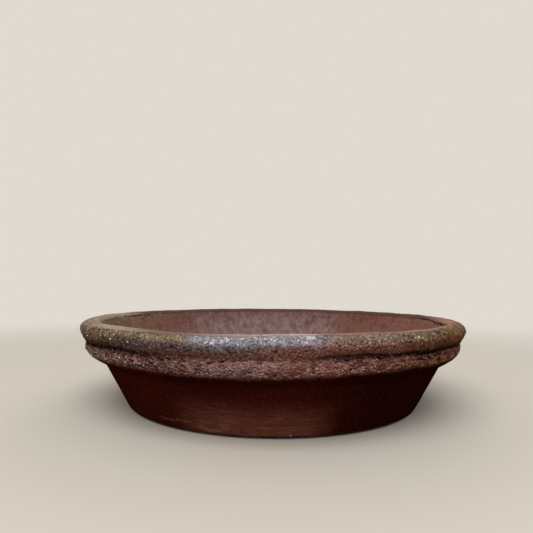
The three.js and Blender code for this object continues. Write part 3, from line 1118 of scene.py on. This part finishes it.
def makeRoll(clay):
    grooveRadius = outsideRadius(grooveHeight) + pot["grooveStand"]
    bellyRadius = outsideRadius(rollBelly) + roll["standOut"]
    crestRadius = insideRadius(lipEdge) + roll["lipWidth"]
    neck = []
    for k in range(1, roll["underSteps"] + 1):
        share = k / roll["underSteps"]
        radius = lerp(bellyRadius, grooveRadius, (1 - share) ** 1.5)
        neck.append((radius, lerp(grooveHeight, rollBelly, share)))
    overWidth = bellyRadius - crestRadius
    overHeight = crest - rollBelly
    outline = [
        (outsideRadius(grooveHeight) - roll["sink"], grooveHeight - roll["tuck"]),
        (grooveRadius - 1.4 * mm, grooveHeight - roll["tuck"]),
        (grooveRadius, grooveHeight),
        *neck,
        *arcPoints((crestRadius, rollBelly), overWidth, overHeight, 0, 90, roll["overSteps"]),
        *arcPoints((crestRadius, lipEdge), roll["lipWidth"], roll["lipHeight"], 90, 180, roll["lipSteps"]),
        (insideRadius(wallTop), wallTop),
        (outsideRadius(wallTop) - 1 * mm, wallTop),
    ]
    lipCorner = len(outline) - 3
    bm = spunRing(outline, {lipCorner: roll["innerCuts"]}, roll["turnSteps"])

    weights = []
    wiped = []
    inner = []
    shades = []
    for vertex in bm.verts:
        point = vertex.co
        radius = math.hypot(point.x, point.y)
        angle = angleOf(point)
        low = clamp((rollBelly - point.z) / roll["bellyRise"])
        outer = radius > crestRadius
        overWall = insideRadius(wallTop) + 0.3 * mm < radius < grooveRadius - 0.2 * mm
        hidden = overWall and point.z < wallTop + 0.1 * mm
        # at both ends the top is sandy too, and its edge is soft
        off = abs(math.degrees(angle))
        atEnd = smooth(off, 40, 60) * (1 - smooth(off, 112, 136))
        edge = alongCourse(roll["wipedEdge"], angle) + noise.noise(point / (4 * mm)) * 0.5 * mm
        softness = lerp(0.25, 1.3, atEnd) * mm
        isTop = smooth(point.z, edge - softness, edge + softness) if outer else 1.0
        isInner = 0.0 if outer else 1 - smooth(point.z, lipEdge - 0.5 * mm, lipEdge + 1.6 * mm)
        innerSand = 0.4 if angle < 0 else 0.0
        sandyTop = atEnd * (0.8 if outer else innerSand)
        weights.append(0.0 if hidden else 1 - (0.85 - sandyTop) * isTop)
        wiped.append(0.0 if hidden else isTop)
        inner.append(0.0 if hidden else isInner)
        # painted shade of the groove, growing down the neck towards it
        shadeStart = lerp(0.7, 0.25, smooth(off, 26, 44))
        shades.append(smooth(low, shadeStart, 0.98) * alongCourse(pot["shade"], angle) if outer else 0.0)
        dip = alongCourse(roll["crestDip"], angle) * smooth(point.z, wallTop, crest)
        if not outer:
            vertex.co.z -= dip
        else:
            out = math.sqrt(1 - low * low) * roll["uneven"] * wander(angle, roll["lobes"])
            out += (alongCourse(pot["grooveOut"], angle) - pot["grooveStand"]) * low ** 2
            out += alongCourse(roll["neckOut"], angle) * 4 * low * (1 - low)
            rise = low * (alongCourse(pot["groove"], angle) - grooveHeight) - dip
            wider = 1 + out / radius
            vertex.co = Vector((point.x * wider, point.y * wider, point.z + rise))
    bm.normal_update()

    random.seed(roll["seed"])
    noise.seed_set(roll["seed"])
    lifts = []
    for vertex, weight, isInner in zip(bm.verts, weights, inner):
        point = vertex.co
        if weight == 0:
            lifts.append(0.0)
            continue
        swirl = noise.noise_vector(point / (4 * mm)) * 1.4 * mm
        lumps = noise.noise(point / (6 * mm)) * roll["lumpDepth"]
        grain = noise.ridged_multi_fractal((point + swirl) / (2 * mm), 0.9, 2.1, 2, 0.95, 1.6) - 0.7
        grain *= roll["grainDepth"]
        crumbs = (0.55 - noise.voronoi(point / (1.4 * mm))[0][0]) * roll["crumbDepth"]
        degrees = math.degrees(angleOf(point))
        coarse = lerp(1, 1.4, smooth(max(degrees, -degrees - 15), 8, 35))
        sand = (grain + crumbs) * weight * coarse
        swell = noise.noise(point / (19 * mm)) * roll["swellDepth"] * smooth(point.z, grooveHeight, rollBelly)
        lifts.append(lerp(swell + lumps * weight + sand, insideRelief(point) + 0.4 * sand, isInner))
    lipVertices = [v for v, isInner in zip(bm.verts, inner) if isInner > 0 or v.co.xy.length < crestRadius]
    pressLine(lipVertices, lifts, roll["crack"], 0.9 * mm, 1.3 * mm)
    pressLine(lipVertices, lifts, roll["ledge"], 0.7 * mm, 0.7 * mm)
    tree = treeOf(bm)
    spots = [i for i, weight in enumerate(weights) if weight > 0.9 and bm.verts[i].co.z > grooveHeight]
    pits = randomPits(bm, spots, roll["pitCount"], 0.5 * mm, 1.0 * mm)
    for degrees, height, size in roll["pits"]:
        pits.append((vertexAt(bm, tree, degrees, height, bellyRadius), size * mm, 0.6 * size * mm))
    pressPits(lifts, tree, pits)
    markRelief(bm, lifts)
    # groove holds the groove's painted shade
    for name, values in {"wiped": wiped, "inner": inner, "grainy": weights, "groove": shades}.items():
        setMark(bm, name, values)
    pushAlong(bm, lifts)

    bm.verts.ensure_lookup_table()
    grains = randomGrit(bm, spots, roll["gritCount"], 0.15 * mm, 0.34 * mm)
    for degrees, height, size in roll["grit"]:
        grains.append((vertexAt(bm, tree, degrees, height, bellyRadius), size * mm, 2))
    addGrit(bm, grains)
    return finishPiece(bm, "rim_body", clay, "rim_roll")


# Stage: a pale floor that fades into the backdrop, one soft window-like light, a dim room
stage = {
    "pale": tone(224, 218, 208),
    "bounce": (0.22, 0.17, 0.13, 1),
    "floorRadius": 4.0,
    "fadeFrom": 0.32,
    "fadeTo": 0.95,
}


def seenOn(tree):
    # 1 for what the camera sees, also in a reflection or through something.
    rays = addNode(tree, "ShaderNodeLightPath")
    direct = calc(tree, "MAXIMUM", rays.outputs["Is Camera Ray"], rays.outputs["Is Transmission Ray"])
    return calc(tree, "MAXIMUM", direct, rays.outputs["Is Glossy Ray"])


def makeStage():
    ground = Finish("paleFloor")
    seen = seenOn(ground.tree)
    colour = ground.mix(seen, stage["bounce"], stage["pale"])
    flat = ground.add("ShaderNodeBsdfDiffuse", {"Color": colour}).outputs[0]
    backdrop = ground.add("ShaderNodeEmission", {"Color": stage["pale"], "Strength": 1.0}).outputs[0]
    distance = ground.vector("LENGTH", ground.place, out="Value")
    far = ground.times(ground.step(distance, stage["fadeFrom"], stage["fadeTo"]), seen)
    shown = ground.add("ShaderNodeMixShader", {0: far, 1: flat, 2: backdrop}).outputs[0]
    ground.add("ShaderNodeOutputMaterial", {"Surface": shown})

    bm = bmesh.new()
    bmesh.ops.create_circle(bm, cap_ends=True, segments=64, radius=stage["floorRadius"])
    mesh = meshOf(bm, "paleFloor")
    mesh.materials.append(ground.material)
    linkNew("paleFloor", mesh)


def makeRoom():
    world = bpy.data.worlds.new("room")
    world.use_nodes = True
    tree = world.node_tree
    tree.nodes.clear()
    seen = seenOn(tree)
    dim = addNode(tree, "ShaderNodeBackground", {"Color": (1, 0.97, 0.93, 1), "Strength": 0.42}).outputs[0]
    pale = addNode(tree, "ShaderNodeBackground", {"Color": stage["pale"], "Strength": 1.0}).outputs[0]
    both = addNode(tree, "ShaderNodeMixShader", {0: seen, 1: dim, 2: pale}).outputs[0]
    addNode(tree, "ShaderNodeOutputWorld", {"Surface": both})
    bpy.context.scene.world = world


def makeLight(name, place, target, size, watts, colour):
    lamp = bpy.data.lights.new(name, "AREA")
    lamp.shape = "RECTANGLE"
    lamp.size, lamp.size_y = size
    lamp.energy = watts
    lamp.color = colour
    holder = linkNew(name, lamp)
    holder.location = place
    holder.rotation_euler = (Vector(target) - Vector(place)).to_track_quat("-Z", "Y").to_euler()


def makeCamera():
    # A camera set low in front of the pot, looking just over the near side of its rim.
    view = {
        "place": Vector((0, -0.3898, 0.08987)),
        "pitch": 0.0449,
        "yaw": -0.013,
        "roll": 0.0075,
        "lens": 31.07,
        "sensor": 36.0,
    }
    forward = Vector((
        math.sin(view["yaw"]) * math.cos(view["pitch"]),
        math.cos(view["yaw"]) * math.cos(view["pitch"]),
        math.sin(view["pitch"]),
    ))
    right = Vector((math.cos(view["yaw"]), -math.sin(view["yaw"]), 0))
    up = right.cross(forward)
    tiltedRight = right * math.cos(view["roll"]) + up * math.sin(view["roll"])
    tiltedUp = tiltedRight.cross(forward)
    turn = Matrix((tiltedRight, tiltedUp, -forward)).transposed()
    lens = bpy.data.cameras.new("viewer")
    lens.lens = view["lens"]
    lens.sensor_width = view["sensor"]
    lens.clip_start = 0.01
    holder = linkNew("viewer", lens)
    holder.matrix_world = Matrix.Translation(view["place"]) @ turn.to_4x4()
    bpy.context.scene.camera = holder


makeCamera()
inside = insideClay()
makeWall(bareClay(), inside)
slab = makeFloor(inside)
makeWireHoles(slab)
makeCoil(inside)
makeFoot(footClay())
makeCollar(tornClay())
makeRoll(ashClay())
print("pot made")

makeStage()
makeRoom()
makeLight("window", (-0.15, -1.05, 1.25), (0, 0, 0.04), (1.5, 1.3), 17, (1, 0.98, 0.95))
makeLight("backLight", (0.3, 1.1, 0.9), (0, 0, 0.05), (1.0, 0.8), 3, (1, 0.97, 0.93))
bpy.context.scene.view_settings.view_transform = "Standard"
print("stage set")
